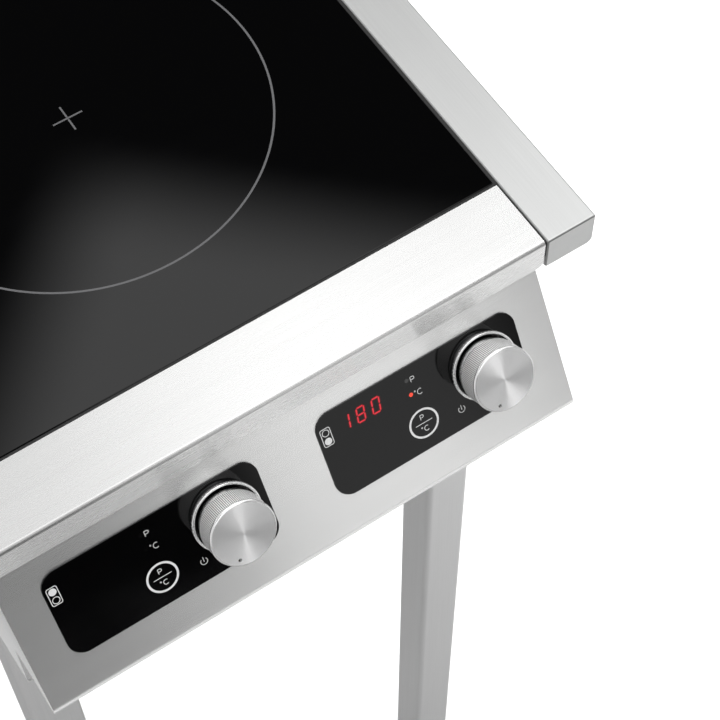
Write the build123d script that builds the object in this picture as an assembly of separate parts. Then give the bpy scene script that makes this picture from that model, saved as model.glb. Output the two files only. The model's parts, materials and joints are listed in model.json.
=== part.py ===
from build123d import *
from math import cos, pi, radians, sin, tan
import os

# Two-zone induction hob on an open stand. Millimetres, +Z up, front towards -Y.
# The origin is on the floor, under the centre of the whole object's box.

# ---------------------------------------------------------------- driving dimensions
WIDTH = 400.0             # over the two side rails
WORKTOP_DEPTH = 700.0     # side rail, front end to rear end
TOP = 850.0               # height of the glass and of the rails
SHEET = 1.5               # body sheet steel
EASE = 1.2                # radius on the outer edges of the rails

SIDE_RAIL_W = 31.1
SIDE_RAIL_H = 24.2
SIDE_RAIL_WALL = 2.0
END_RAIL_DEPTH = 44.4     # front and rear rail, opening edge to outer face
END_RAIL_H = 21.4
JOINT_GAP = 1.3           # sealed joint between an end rail and a side rail
SIDE_RAIL_PROUD = 0.3     # side rail stands this far past the front rail's face

GLASS_T = 6.0
GLASS_CORNER = 1.0
SEAL_W = 2.0              # seal band between glass and rails
SEAL_BED = 0.5
SEAL_LEDGE = 12.0
CARRIER_W = 16.0

PANEL_TILT = 30.6         # from vertical, lower edge forward
PANEL_Y = -87.2           # base line of the slanted face, behind the glass opening's front edge
PANEL_Z = -99.9           # base line, under the top
PANEL_SLANT = 100.0       # from the base line up to the upper fold
NOSE_DROP = 7.3           # from the base line down to the nose, before it is rounded
NOSE_BEND = 3.4           # inner radius of the nose
FOLD = 1.0                # inner radius of the other folds
PANEL_HALF = 164.1        # half width of the body
BODY_DROP = 150.0         # underside of the body, under the top
RISER_Y = -45.0           # front wall under the control panel
BACK_INSET = 14.7         # back panel, inside the rear rail's face

OVERLAY_W = 125.2
OVERLAY_H = 53.6
OVERLAY_R = 10.0
OVERLAY_T = 0.8
OVERLAY_BOTTOM = 22.3     # up the panel from its base line
OVERLAY_LEFT = {"right": 18.1, "left": -143.1}

KNOB_AT = (101.1, 29.0)   # from the overlay's lower left corner
KNOB_R = 18.7
KNOB_TOP = 21.9
KNOB_SKIRT_R = 16.9
KNOB_BOTTOM = 2.1
KNOB_CHAMFER = 0.7
BEZEL_R = 19.9
BEZEL_W = 1.6
BEZEL_H = 1.6
SHAFT_R = 3.0
RUNNING = 0.06            # radial clearance of everything that turns or slides

KEY_AT = (58.3, 16.5)
KEY_R = 9.35
DISPLAY_AT = (29.4, 41.8)
LED_AT = [(56.4, 45.6), (56.3, 36.5)]
BOARD_H = -14.4           # top of the control board, behind the panel's face
BOARD_T = 1.6
KEY_STEM_END = -8.4
KEY_TRAVEL = 0.5
SHAFT_TOP = 14.0
SHAFT_END = -11.0

LEG = 32.0
LEG_WALL = 1.5
LEG_FRONT = -1.8          # leg's front face, behind the glass opening's front edge
FRAME_H = 20.0
FOOT_R = 22.0
FOOT_PAD_H = 10.0
FOOT_HEX = 17.0
FOOT_HEX_H = 8.0
FOOT_STEM_R = 5.0
FOOT_STEM = 58.0

COIL_R = 130.0
COIL_INSET = 165.0        # zone centre to the nearer end of the glass opening
COIL_SCREW_DY = 100.0
HUB_R = 14.0              # hole at a coil's centre
LEAD_X = 138.0            # holes for the coil leads
WIRE_R = 1.6

FAN = 92.0
FAN_H = 25.0
FAN_X = 92.0
BOARD_X = (-150.0, 20.0)
BOARD_HALF_Y = 95.0
SINK_X = (-30.0, 12.0)
FILTER_X = (-132.0, 20.0)
PILLAR_INSET = 8.0        # standoff centres, inside a board's corners
GLAND_X = 110.0
GLAND_R = 12.5
GLAND_HEX_R = 17.0       # corner radius of its hexagon and of its lock nut
GLAND_HEX_H = 6.0
GLAND_NUT_H = 5.0
GLAND_RISE = 10.0        # thread standing inside the body
GLAND_DOME_R = 11.0      # dome nut, at its lower end
GLAND_LOW = 680.0
CORD_R = 7.0              # bore of the gland
PANEL_SCREW_X = [-120, 0, 120]
SCREW_R = 2.0

# ---------------------------------------------------------------- worked-out places
TILT = radians(PANEL_TILT)
KNOB_V = OVERLAY_BOTTOM + KNOB_AT[1]
KNOB_REACH = PANEL_Y + (KNOB_V - KNOB_R + KNOB_CHAMFER) * sin(TILT) - KNOB_TOP * cos(TILT)
OPENING_BACK = WORKTOP_DEPTH - 2 * (END_RAIL_DEPTH + SIDE_RAIL_PROUD)
REAR_REACH = OPENING_BACK + END_RAIL_DEPTH + SIDE_RAIL_PROUD

YF = -(KNOB_REACH + REAR_REACH) / 2      # front edge of the glass opening
YR = YF + OPENING_BACK                   # its rear edge
Y_FRONT = YF - END_RAIL_DEPTH            # front rail's face
Y_END = YF + REAR_REACH                  # rear end of the side rails
Y_BACK = Y_END - BACK_INSET              # outer face of the back panel
OPEN_HALF = WIDTH / 2 - SIDE_RAIL_W      # half width of the glass opening
RAIL_HALF = OPEN_HALF - JOINT_GAP
BODY_IN = PANEL_HALF - SHEET
BODY_Z = TOP - BODY_DROP
CARRIER_Z = TOP - GLASS_T - SEAL_BED     # top of the carrier's ledge
SKIRT_Z = TOP - 24.0                     # lower edge of the carrier
FRAME_Z = BODY_Z - FRAME_H
INSERT_Z = FOOT_PAD_H + FOOT_HEX_H
LEG_Z = INSERT_Z + 2
ZONE_Y = {"front": YF + COIL_INSET, "rear": YR - COIL_INSET}
BASE = (YF + PANEL_Y, TOP + PANEL_Z)
NOSE = (BASE[0] - NOSE_DROP * sin(TILT), BASE[1] - NOSE_DROP * cos(TILT))
PANEL = Plane(
    origin=(0, BASE[0], BASE[1]),
    x_dir=(1, 0, 0),
    z_dir=(0, -cos(TILT), sin(TILT)),
)

BODY_REST = BODY_Z + SHEET               # inside face of the bottom panel
BOARD_Z = BODY_REST + 8.0                # underside of the boards
FILTER_Y = (ZONE_Y["rear"] + 102, Y_BACK - 12)
GLAND_Y = Y_BACK - 62
GLAND_HEX_Z = BODY_Z - GLAND_HEX_H
MICA_Z = TOP - GLASS_T - 1.0
FORMER_Z = TOP - 13.0
COIL_PLATE_Z = TOP - 20.0
LEG_X = PANEL_HALF - LEG / 2
LEG_Y = {"front": YF + LEG_FRONT + LEG / 2, "rear": Y_BACK - LEG / 2}
SIDE_BOLT_Y = [YF + 40 + i * (OPENING_BACK - 80) / 3 for i in range(4)]
SIDE_BOLT_Z = TOP - 14.0
STAND_BOLT_Y = [YF + 60, (YF + Y_BACK) / 2, Y_BACK - 70]
PANEL_SCREW_Y = YF + RISER_Y + 10
SPACER_X = OPEN_HALF - SHEET             # inner face of the carrier's skirt

os.makedirs("parts", exist_ok=True)


# ---------------------------------------------------------------- helpers
def block(x0, x1, y0, y1, z0, z1):
    """A box between two corners."""
    size = Box(x1 - x0, y1 - y0, z1 - z0)
    return Pos((x0 + x1) / 2, (y0 + y1) / 2, (z0 + z1) / 2) * size


def round_block(x0, x1, y0, y1, z0, z1, radius):
    """A box with rounded vertical edges."""
    outline = RectangleRounded(x1 - x0, y1 - y0, radius)
    return Pos((x0 + x1) / 2, (y0 + y1) / 2, z0) * extrude(outline, z1 - z0)


def rod(x, y, z0, z1, radius):
    """A vertical cylinder."""
    return Pos(x, y, (z0 + z1) / 2) * Cylinder(radius, z1 - z0)


def rod_x(x0, x1, y, z, radius):
    """A cylinder along X."""
    return Pos((x0 + x1) / 2, y, z) * Rot(0, 90, 0) * Cylinder(radius, x1 - x0)


def ring(x, y, z0, z1, outer, inner):
    return rod(x, y, z0, z1, outer) - rod(x, y, z0 - 1, z1 + 1, inner)


def side_plate(points, x0, x1):
    """A plate cut to an outline of (y, z) points."""
    face = Plane.YZ.offset(x0) * make_face(Polyline(*points, close=True))
    return extrude(face, x1 - x0, dir=(1, 0, 0))


def shifted(points, distance):
    """The line of points moved to its left by distance, corners mitred."""
    vectors = [Vector(*point) for point in points]
    runs = [(b - a).normalized() for a, b in zip(vectors, vectors[1:])]
    normals = [Vector(-run.Y, run.X) for run in runs]
    moved = [vectors[0] + normals[0] * distance]
    for before, after, corner in zip(normals, normals[1:], vectors[1:]):
        moved.append(corner + (before + after) * (distance / (1 + before.dot(after))))
    moved.append(vectors[-1] + normals[-1] * distance)
    return [(point.X, point.Y) for point in moved]


def bent_sheet(points, bends, x0, x1, inner):
    """Sheet steel folded along (y, z) points, thickness to the left of the line.
    A bend is +1 where the line turns left and -1 where it turns right, with its inner radius."""
    near = [0] + [r + SHEET if bend > 0 else r for bend, r in zip(bends, inner)] + [0]
    far = [0] + [r if bend > 0 else r + SHEET for bend, r in zip(bends, inner)] + [0]
    outline = points + shifted(points, SHEET)[::-1]
    line = FilletPolyline(*outline, radius=near + far[::-1], close=True)
    face = Plane.YZ.offset(x0) * make_face(line)
    return extrude(face, x1 - x0, dir=(1, 0, 0))


def edges_at(solid, axis, **place):
    """The straight edges along an axis whose middles lie at the given coordinates."""
    found = []
    for edge in solid.edges().filter_by(axis):
        middle = edge.center()
        if all(abs(getattr(middle, key) - value) < 0.01 for key, value in place.items()):
            found.append(edge)
    return found


def on_panel(x, v, h=0.0):
    """A place on the slanted panel: across, up its face, and out from it."""
    return PANEL.location * Pos(x, v, h)


def panel_rod(x, v, h0, h1, radius):
    return on_panel(x, v, (h0 + h1) / 2) * Cylinder(radius, h1 - h0)


def panel_block(x0, x1, v0, v1, h0, h1):
    box = Box(x1 - x0, v1 - v0, h1 - h0)
    return on_panel((x0 + x1) / 2, (v0 + v1) / 2, (h0 + h1) / 2) * box


def overlay_point(side, at):
    """A place given from an overlay's lower left corner, on the panel."""
    return OVERLAY_LEFT[side] + at[0], OVERLAY_BOTTOM + at[1]


def save(shape, name):
    export_step(shape, f"parts/{name}.step")


def mirrored(shape):
    return mirror(shape, about=Plane.YZ)


# ---------------------------------------------------------------- worktop
def end_rail(y0, y1, outer_y):
    """Folded rail with closed ends, open underneath."""
    z0 = TOP - END_RAIL_H
    rail = block(-RAIL_HALF, RAIL_HALF, y0, y1, z0, TOP)
    rail = fillet(edges_at(rail, Axis.Y, Z=z0), 4.0)
    rail = fillet(edges_at(rail, Axis.X, Y=outer_y, Z=TOP), 2.5)
    cavity = block(-RAIL_HALF + SHEET, RAIL_HALF - SHEET, y0 + SHEET, y1 - SHEET, z0 - 1, TOP - SHEET)
    return rail - cavity


def side_rail():
    """The right side rail: a box section with closed ends and a slot underneath."""
    x0 = OPEN_HALF
    x1 = WIDTH / 2
    y0 = Y_FRONT - SIDE_RAIL_PROUD
    z0 = TOP - SIDE_RAIL_H
    wall = SIDE_RAIL_WALL
    rail = block(x0, x1, y0, Y_END, z0, TOP)
    rail = fillet(edges_at(rail, Axis.Y, X=x1, Z=z0), 4.0)
    rail = fillet(edges_at(rail, Axis.Y, X=x0, Z=z0), 2.0)
    ends = rail.faces().sort_by(Axis.Y)
    rail = fillet(ends[0].edges() + ends[-1].edges() + edges_at(rail, Axis.Y, Z=TOP), EASE)
    cavity = block(x0 + wall, x1 - wall, y0 + wall, Y_END - wall, z0 + wall, TOP - wall)
    slot = block(x0 + 14, x1 - 4, y0 + wall + 4, Y_END - wall - 4, z0 - 1, z0 + wall + 1)
    rail = rail - cavity - slot
    for y in SIDE_BOLT_Y:
        rail = rail - rod_x(x0 - 1, x0 + wall + 1, y, SIDE_BOLT_Z, 2.7)
    return rail


def joint_seals():
    """Black strips in the four joints between end rails and side rails."""
    strips = []
    for x0 in (-OPEN_HALF, RAIL_HALF):
        for y0, y1 in ((Y_FRONT + 1, YF), (YR, YR + END_RAIL_DEPTH - 1)):
            strips.append(block(x0, x0 + JOINT_GAP, y0, y1, TOP - 14, TOP - 0.9))
    return Compound(strips)


def opening_block(inset, z0, z1, radius=1.0):
    """A box over the glass opening, drawn in by an inset on all four sides."""
    half = OPEN_HALF - inset
    return round_block(-half, half, YF + inset, YR - inset, z0, z1, radius)


def glass_plate():
    plate = opening_block(SEAL_W, TOP - GLASS_T, TOP, GLASS_CORNER)
    return chamfer(plate.faces().sort_by(Axis.Z)[-1].edges(), 0.4)


def glass_seal():
    low = TOP - GLASS_T - SEAL_BED
    seal = opening_block(0, low, TOP - 0.7, 0.5)
    seal = seal - opening_block(SEAL_W, TOP - GLASS_T, TOP + 1, GLASS_CORNER)
    return seal - opening_block(SEAL_LEDGE, low - 1, TOP + 1, GLASS_CORNER)


def glass_carrier():
    """Ledge under the glass with a skirt that the four rails are bolted to."""
    carrier = opening_block(0, SKIRT_Z, CARRIER_Z, 0.5)
    carrier = carrier - opening_block(SHEET, SKIRT_Z - 1, CARRIER_Z - SHEET, 1.0)
    carrier = carrier - opening_block(CARRIER_W, SKIRT_Z - 1, CARRIER_Z + 1, 4.0)
    for y in SIDE_BOLT_Y:
        carrier = carrier - rod_x(-WIDTH / 2, WIDTH / 2, y, SIDE_BOLT_Z, 2.7)
    return carrier


def worktop_bolts():
    """Bolts from inside the body through spacers, skirt and rail, with their nuts."""
    right = []
    for y in SIDE_BOLT_Y:
        nut_x = OPEN_HALF + SIDE_RAIL_WALL
        head = rod_x(BODY_IN - 3, BODY_IN, y, SIDE_BOLT_Z, 3.9)
        right.append(head + rod_x(BODY_IN, nut_x + 5, y, SIDE_BOLT_Z, 2.5))
        spacer = rod_x(PANEL_HALF, SPACER_X, y, SIDE_BOLT_Z, 4.5)
        right.append(spacer - rod_x(PANEL_HALF - 1, SPACER_X + 1, y, SIDE_BOLT_Z, 2.6))
        hexagon = extrude(RegularPolygon(4.4, 6), 4)
        nut = Pos(nut_x, y, SIDE_BOLT_Z) * Rot(0, 90, 0) * hexagon
        right.append(nut - rod_x(nut_x - 1, nut_x + 6, y, SIDE_BOLT_Z, 2.52))
    return Compound(right + [mirrored(piece) for piece in right])


# ---------------------------------------------------------------- body
def side_panel():
    """The right side of the body, cut to the slanted front, with inward flanges."""
    slope = tan(TILT)
    behind = SHEET / cos(TILT)
    low_top = SKIRT_Z - 0.5
    nose_y = NOSE[0] + SHEET * slope + behind
    nose_z = NOSE[1] + SHEET
    reach = NOSE_BEND * tan((pi / 2 + TILT) / 2)
    round_off = NOSE_BEND / (reach ** 2 + NOSE_BEND ** 2) ** 0.5
    points = [
        (NOSE[0] + (low_top - NOSE[1]) * slope + behind, low_top),
        (nose_y + reach * sin(TILT), nose_z + reach * cos(TILT)),
        (nose_y + reach * (1 - round_off), nose_z + NOSE_BEND * (1 - round_off)),
        (nose_y + reach, nose_z),
        (YF + RISER_Y + SHEET, nose_z),
        (YF + RISER_Y + SHEET, BODY_REST + 2),
        (YF + RISER_Y + SHEET + 2, BODY_REST),
        (Y_BACK - SHEET, BODY_REST),
        (Y_BACK - SHEET, low_top),
        (YR - 2, low_top),
        (YR - 2, CARRIER_Z - SHEET),
        (YF + 2, CARRIER_Z - SHEET),
        (YF + 2, low_top),
    ]
    panel = side_plate(points, BODY_IN, PANEL_HALF)
    flange_x = BODY_IN - 14
    upper = CARRIER_Z - SHEET
    panel += block(flange_x, BODY_IN, YF + 18, YR - 18, upper - SHEET, upper)
    panel += block(flange_x, BODY_IN, YF + RISER_Y + 20, Y_BACK - 20, BODY_REST, BODY_REST + SHEET)
    panel += block(flange_x, BODY_IN, Y_BACK - 2 * SHEET, Y_BACK - SHEET, BODY_Z + 20, low_top - 2)
    panel += panel_block(flange_x, BODY_IN, 8, 84, -2 * SHEET, -SHEET)
    for y in SIDE_BOLT_Y:
        panel = panel - rod_x(BODY_IN - 1, PANEL_HALF + 1, y, SIDE_BOLT_Z, 2.7)
    for y in STAND_BOLT_Y:
        panel = panel - rod(LEG_X, y, BODY_Z, BODY_REST + 5, 4.2)
    for zone_y in ZONE_Y.values():
        for step in (-COIL_SCREW_DY, COIL_SCREW_DY):
            panel = panel - rod_x(BODY_IN - 1, PANEL_HALF + 1, zone_y + step, COIL_PLATE_Z - 10, 2.2)
    return panel


def vent_slots(count, pitch, width, height, x, y, z):
    """A row of upright slots through the back panel."""
    slots = []
    for i in range(count):
        shape = SlotCenterToCenter(height - width, width, rotation=90)
        at = Plane((x + (i - (count - 1) / 2) * pitch, y - SHEET, z), x_dir=(1, 0, 0), z_dir=(0, 1, 0))
        slots.append(extrude(at * shape, 3 * SHEET))
    return slots


def back_panel():
    panel = block(-PANEL_HALF, PANEL_HALF, Y_BACK - SHEET, Y_BACK, BODY_Z, SKIRT_Z - 0.5)
    for x in (-88, 88):
        panel = panel - vent_slots(11, 12, 5, 50, x, Y_BACK - SHEET, TOP - 80)
    return panel


def bottom_panel():
    panel = block(-PANEL_HALF, PANEL_HALF, YF + RISER_Y, Y_BACK - SHEET, BODY_Z, BODY_REST)
    for zone_y in ZONE_Y.values():
        for i in range(9):
            half = (39.0 ** 2 - ((i - 4) * 9.0) ** 2) ** 0.5
            slot = Rectangle(2 * half, 4.5)
            at = Pos(FAN_X, zone_y + (i - 4) * 9.0, BODY_Z - 1)
            panel = panel - at * extrude(fillet(slot.vertices(), 2.0), 4 * SHEET)
    panel = panel - rod(GLAND_X, GLAND_Y, BODY_Z - 5, BODY_Z + 5, GLAND_R + 0.3)
    for x in (-LEG_X, LEG_X):
        for y in STAND_BOLT_Y:
            panel = panel - rod(x, y, BODY_Z - 5, BODY_Z + 5, 4.2)
    for x in PANEL_SCREW_X:
        panel = panel - rod(x, PANEL_SCREW_Y, BODY_Z - 5, BODY_Z + 5, 2.2)
    return panel


def control_panel():
    """Slanted front with its nose, riser and flanges, folded from one sheet."""
    top = (BASE[0] + PANEL_SLANT * sin(TILT), BASE[1] + PANEL_SLANT * cos(TILT))
    riser = YF + RISER_Y
    line = [
        (top[0] + 18, top[1]),
        top,
        NOSE,
        (riser, NOSE[1]),
        (riser, BODY_REST),
        (riser + 18, BODY_REST),
    ]
    bends = [1, 1, -1, 1]
    panel = bent_sheet(line, bends, -PANEL_HALF, PANEL_HALF, [FOLD, NOSE_BEND, FOLD, FOLD])
    for x0, x1 in ((-WIDTH, -BODY_IN + 16), (BODY_IN - 16, WIDTH)):
        panel = panel - block(x0, x1, riser + SHEET, riser + 40, BODY_Z, BODY_REST + 8)
    for side in OVERLAY_LEFT:
        x, v = overlay_point(side, KEY_AT)
        panel = panel - panel_rod(x, v, -5, 5, KEY_R + 1.3)
        x, v = overlay_point(side, KNOB_AT)
        panel = panel - panel_rod(x, v, -5, 5, 5.0)
        x, v = overlay_point(side, DISPLAY_AT)
        panel = panel - panel_block(x - 18, x + 18, v - 9, v + 9, -5, 5)
        for spot in LED_AT:
            x, v = overlay_point(side, spot)
            panel = panel - panel_rod(x, v, -5, 5, 2.2)
    for x in PANEL_SCREW_X:
        panel = panel - rod(x, PANEL_SCREW_Y, BODY_Z, BODY_Z + 9, 2.2)
    return panel


# ---------------------------------------------------------------- controls
def overlay(side):
    """Glossy black plate with a window, a key hole and a shaft hole."""
    x0 = OVERLAY_LEFT[side]
    middle = on_panel(x0 + OVERLAY_W / 2, OVERLAY_BOTTOM + OVERLAY_H / 2)
    plate = middle * extrude(RectangleRounded(OVERLAY_W, OVERLAY_H, OVERLAY_R), OVERLAY_T)
    plate = plate - panel_rod(*overlay_point(side, KEY_AT), -1, 2, KEY_R + 0.08)
    return plate - panel_rod(*overlay_point(side, KNOB_AT), -1, 2, 5.0)


def mode_key(side):
    """Flush round key with a retaining flange and a stem to its switch."""
    x, v = overlay_point(side, KEY_AT)
    key = panel_rod(x, v, 0, OVERLAY_T, KEY_R)
    key += panel_rod(x, v, -1.2, 0, KEY_R + 0.8)
    return key + panel_rod(x, v, KEY_STEM_END, -1.2, 2.5)


def knob_bezels():
    rings = []
    for side in OVERLAY_LEFT:
        x, v = overlay_point(side, KNOB_AT)
        body = panel_rod(x, v, OVERLAY_T, OVERLAY_T + BEZEL_H, BEZEL_R)
        rings.append(body - panel_rod(x, v, 0, OVERLAY_T + BEZEL_H + 1, BEZEL_R - BEZEL_W))
    return Compound(rings)


def knob(side):
    """Turned aluminium knob: skirt, knurled band, rim, hollow behind with a hub."""
    band = KNOB_R - 0.4
    outline = [
        (0, KNOB_TOP),
        (KNOB_R - KNOB_CHAMFER, KNOB_TOP),
        (KNOB_R, KNOB_TOP - KNOB_CHAMFER),
        (KNOB_R, KNOB_TOP - 1.5),
        (band, KNOB_TOP - 1.9),
        (band, 7.6),
        (KNOB_SKIRT_R + 0.5, 6.8),
        (KNOB_SKIRT_R, KNOB_BOTTOM + 0.5),
        (KNOB_SKIRT_R - 0.5, KNOB_BOTTOM),
        (KNOB_SKIRT_R - 1.8, KNOB_BOTTOM),
        (KNOB_SKIRT_R - 1.8, KNOB_TOP - 2.4),
        (6.0, KNOB_TOP - 2.4),
        (6.0, KNOB_BOTTOM + 0.4),
        (SHAFT_R, KNOB_BOTTOM + 0.4),
        (SHAFT_R, SHAFT_TOP),
        (0, SHAFT_TOP),
    ]
    face = make_face(Plane.XZ * Polyline(*outline, close=True))
    turned = revolve(face, Axis.Z)
    return on_panel(*overlay_point(side, KNOB_AT)) * turned


def knob_shaft(side):
    return panel_rod(*overlay_point(side, KNOB_AT), SHAFT_END, SHAFT_TOP, SHAFT_R)


def encoder_rotor(side):
    """Detent wheel that the shaft turns and slides through."""
    x, v = overlay_point(side, KNOB_AT)
    wheel = extrude(Circle(4.92) - PolarLocations(5.2, 12) * Circle(0.7), 3)
    wheel = on_panel(x, v, -12.3) * wheel
    return wheel - panel_rod(x, v, -13, -8, SHAFT_R + RUNNING)


def encoder_housings():
    housings = []
    for side in OVERLAY_LEFT:
        x, v = overlay_point(side, KNOB_AT)
        body = panel_block(x - 7, x + 7, v - 7, v + 7, BOARD_H, -4.4)
        body += panel_rod(x, v, -4.4, 0.6, 4.6)
        body = body - panel_rod(x, v, -12.4, -7.4, 5.0)
        housings.append(body - panel_rod(x, v, -8, 1, SHAFT_R + RUNNING))
    return Compound(housings)


def control_board():
    board = panel_block(-146, 146, 18, 80, BOARD_H - BOARD_T, BOARD_H)
    for x in (-140, 0, 140):
        for v in (23, 75):
            board = board - panel_rod(x, v, BOARD_H - 4, BOARD_H + 2, 1.6)
    return board


def display(side):
    """Three-digit seven-segment module that stands on the control board."""
    x, v = overlay_point(side, DISPLAY_AT)
    return panel_block(x - 16, x + 16, v - 7.5, v + 7.5, BOARD_H, -0.2)


def indicator_leds():
    lamps = []
    for side in OVERLAY_LEFT:
        for spot in LED_AT:
            lamps.append(panel_rod(*overlay_point(side, spot), BOARD_H, -0.2, 1.5))
    return Compound(lamps)


def key_switches():
    switches = []
    for side in OVERLAY_LEFT:
        x, v = overlay_point(side, KEY_AT)
        body = panel_block(x - 3, x + 3, v - 3, v + 3, BOARD_H, -10.4)
        switches.append(body + panel_rod(x, v, -10.4, KEY_STEM_END - KEY_TRAVEL - 0.05, 1.7))
    return Compound(switches)


# ---------------------------------------------------------------- induction zones
def coil_plates():
    """Aluminium plates across the body that carry the coils, bent down at the sides."""
    plates = []
    for y in ZONE_Y.values():
        y0 = y - 125
        y1 = y + 125
        plate = block(-BODY_IN, BODY_IN, y0, y1, COIL_PLATE_Z, COIL_PLATE_Z + 2)
        for x0 in (-BODY_IN, BODY_IN - 2):
            plate += block(x0, x0 + 2, y0, y1, COIL_PLATE_Z - 22, COIL_PLATE_Z)
        for step in (-COIL_SCREW_DY, COIL_SCREW_DY):
            plate = plate - rod_x(-WIDTH, WIDTH, y + step, COIL_PLATE_Z - 10, 2.2)
        plate = plate - rod(0, y, COIL_PLATE_Z - 1, COIL_PLATE_Z + 3, HUB_R)
        for x in (-LEAD_X, LEAD_X):
            plate = plate - rod(x, y, COIL_PLATE_Z - 1, COIL_PLATE_Z + 3, 5)
        plates.append(plate)
    return Compound(plates)


def coil_formers():
    """Moulded discs with a recess that the winding lies in."""
    formers = []
    for y in ZONE_Y.values():
        disc = rod(0, y, FORMER_Z, MICA_Z, COIL_R)
        disc = disc - ring(0, y, FORMER_Z + 2, MICA_Z + 1, COIL_R - 6, 28)
        formers.append(disc - rod(0, y, FORMER_Z - 1, MICA_Z + 1, HUB_R))
    return Compound(formers)


def coil_windings():
    """Flat litz spirals; each turn is a rounded ridge."""
    coils = []
    turns = 20
    inner = 28.0
    outer = COIL_R - 6
    pitch = (outer - inner) / turns
    low = FORMER_Z + 2
    for y in ZONE_Y.values():
        points = [(inner, low)]
        for i in range(turns):
            r = inner + i * pitch
            points += [(r, MICA_Z - 0.9), (r + 0.3 * pitch, MICA_Z), (r + 0.7 * pitch, MICA_Z)]
        points += [(outer, MICA_Z - 0.9), (outer, low)]
        face = make_face(Plane.XZ * Polyline(*points, close=True))
        coils.append(Pos(0, y, 0) * revolve(face, Axis.Z))
    return Compound(coils)


def mica_sheets():
    sheets = []
    for y in ZONE_Y.values():
        sheets.append(ring(0, y, MICA_Z, TOP - GLASS_T, COIL_R, HUB_R))
    return Compound(sheets)


def ferrite_bars():
    """Eight radial bars between each former and its plate."""
    bars = []
    for y in ZONE_Y.values():
        for i in range(8):
            bar = Pos(76, 0, 0) * Box(84, 14, FORMER_Z - COIL_PLATE_Z - 2)
            bars.append(Pos(0, y, (FORMER_Z + COIL_PLATE_Z + 2) / 2) * Rot(0, 0, 22.5 + i * 45) * bar)
    return Compound(bars)


def temperature_sensors():
    """Sprung sensor at each coil's centre, against the glass."""
    sensors = []
    for y in ZONE_Y.values():
        head = rod(0, y, TOP - GLASS_T - 4, TOP - GLASS_T, 9)
        sensors.append(head + rod(0, y, COIL_PLATE_Z - 6, TOP - GLASS_T - 4, 4))
    return Compound(sensors)


# ---------------------------------------------------------------- power electronics
def pillar_places():
    """Standoff centres under the generator boards and the filter board."""
    places = []
    for y in ZONE_Y.values():
        for x in (BOARD_X[0] + PILLAR_INSET, BOARD_X[1] - PILLAR_INSET):
            for step in (-BOARD_HALF_Y + PILLAR_INSET, BOARD_HALF_Y - PILLAR_INSET):
                places.append((x, y + step))
    for x in (FILTER_X[0] + PILLAR_INSET, FILTER_X[1] - PILLAR_INSET):
        for y in (FILTER_Y[0] + PILLAR_INSET, FILTER_Y[1] - PILLAR_INSET):
            places.append((x, y))
    return places


def board_with_holes(x0, x1, y0, y1):
    board = block(x0, x1, y0, y1, BOARD_Z, BOARD_Z + BOARD_T)
    for x in (x0 + PILLAR_INSET, x1 - PILLAR_INSET):
        for y in (y0 + PILLAR_INSET, y1 - PILLAR_INSET):
            board = board - rod(x, y, BOARD_Z - 1, BOARD_Z + 3, 1.7)
    return board


def generator_board(zone):
    y = ZONE_Y[zone]
    return board_with_holes(*BOARD_X, y - BOARD_HALF_Y, y + BOARD_HALF_Y)


def heat_sinks():
    """Finned extrusions on the boards, fins along Y."""
    sinks = []
    low = BOARD_Z + BOARD_T
    for y in ZONE_Y.values():
        sink = block(*SINK_X, y - 60, y + 60, low, low + 5)
        for i in range(8):
            x = SINK_X[0] + i * (SINK_X[1] - SINK_X[0] - 1.6) / 7
            sink += block(x, x + 1.6, y - 60, y + 60, low + 5, low + 38)
        sinks.append(sink)
    return Compound(sinks)


def capacitors():
    """Two round bus capacitors and two film capacitors on each generator board."""
    low = BOARD_Z + BOARD_T
    pieces = []
    for y in ZONE_Y.values():
        for step in (-50, -14):
            can = rod(-122, y + step, low, low + 42, 15)
            pieces.append(chamfer(can.faces().sort_by(Axis.Z)[-1].edges(), 1.5))
        for step in (22, 56):
            pieces.append(block(-140, -100, y + step, y + step + 24, low, low + 30))
    return Compound(pieces)


def fan_frame(y):
    """Square fan frame with a round duct, a motor seat and three spokes."""
    z1 = BODY_REST + FAN_H
    half = FAN / 2
    frame = round_block(FAN_X - half, FAN_X + half, y - half, y + half, BODY_REST, z1, 4)
    frame = frame - rod(FAN_X, y, BODY_REST - 1, z1 + 1, half - 2)
    frame += rod(FAN_X, y, z1 - 4, z1, 19)
    for i in range(3):
        spoke = Pos(half / 2 + 6, 0, 0) * Box(half - 8, 5, 3)
        frame += Pos(FAN_X, y, z1 - 1.5) * Rot(0, 0, 20 + i * 120) * spoke
    for dx in (-41, 41):
        for dy in (-41, 41):
            frame = frame - rod(FAN_X + dx, y + dy, BODY_REST - 1, z1 + 1, 2.2)
    frame = frame - rod(FAN_X, y, z1 - 12, z1 - 1, 1.5 + RUNNING)
    return frame


def fan_rotor(zone):
    """Hub, seven pitched blades and the stub axle in the frame's seat."""
    y = ZONE_Y[zone]
    z0 = BODY_REST + 3
    z1 = BODY_REST + FAN_H - 5
    blades = Pos(0, 0, (z0 + z1) / 2) * Cylinder(18, z1 - z0)
    for i in range(7):
        blade = Pos(29, 0, 0) * Rot(38, 0, 0) * Box(26, 17, 1.6)
        blades += Rot(0, 0, i * 360 / 7) * Pos(0, 0, (z0 + z1) / 2) * blade
    blades += Pos(0, 0, z1 + 1.4) * Cylinder(1.5, 5)
    return Pos(FAN_X, y, 0) * blades


def filter_board():
    """Mains filter: board, ring choke on its side and two box capacitors."""
    low = BOARD_Z + BOARD_T
    board = board_with_holes(*FILTER_X, *FILTER_Y)
    middle = (FILTER_Y[0] + FILTER_Y[1]) / 2
    choke = rod(-95, middle, low, low + 20, 19) - rod(-95, middle, low + 4, low + 21, 9)
    board += choke
    for x in (-55, -20):
        board += block(x - 13, x + 13, middle - 9, middle + 9, low, low + 22)
    return board


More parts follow.
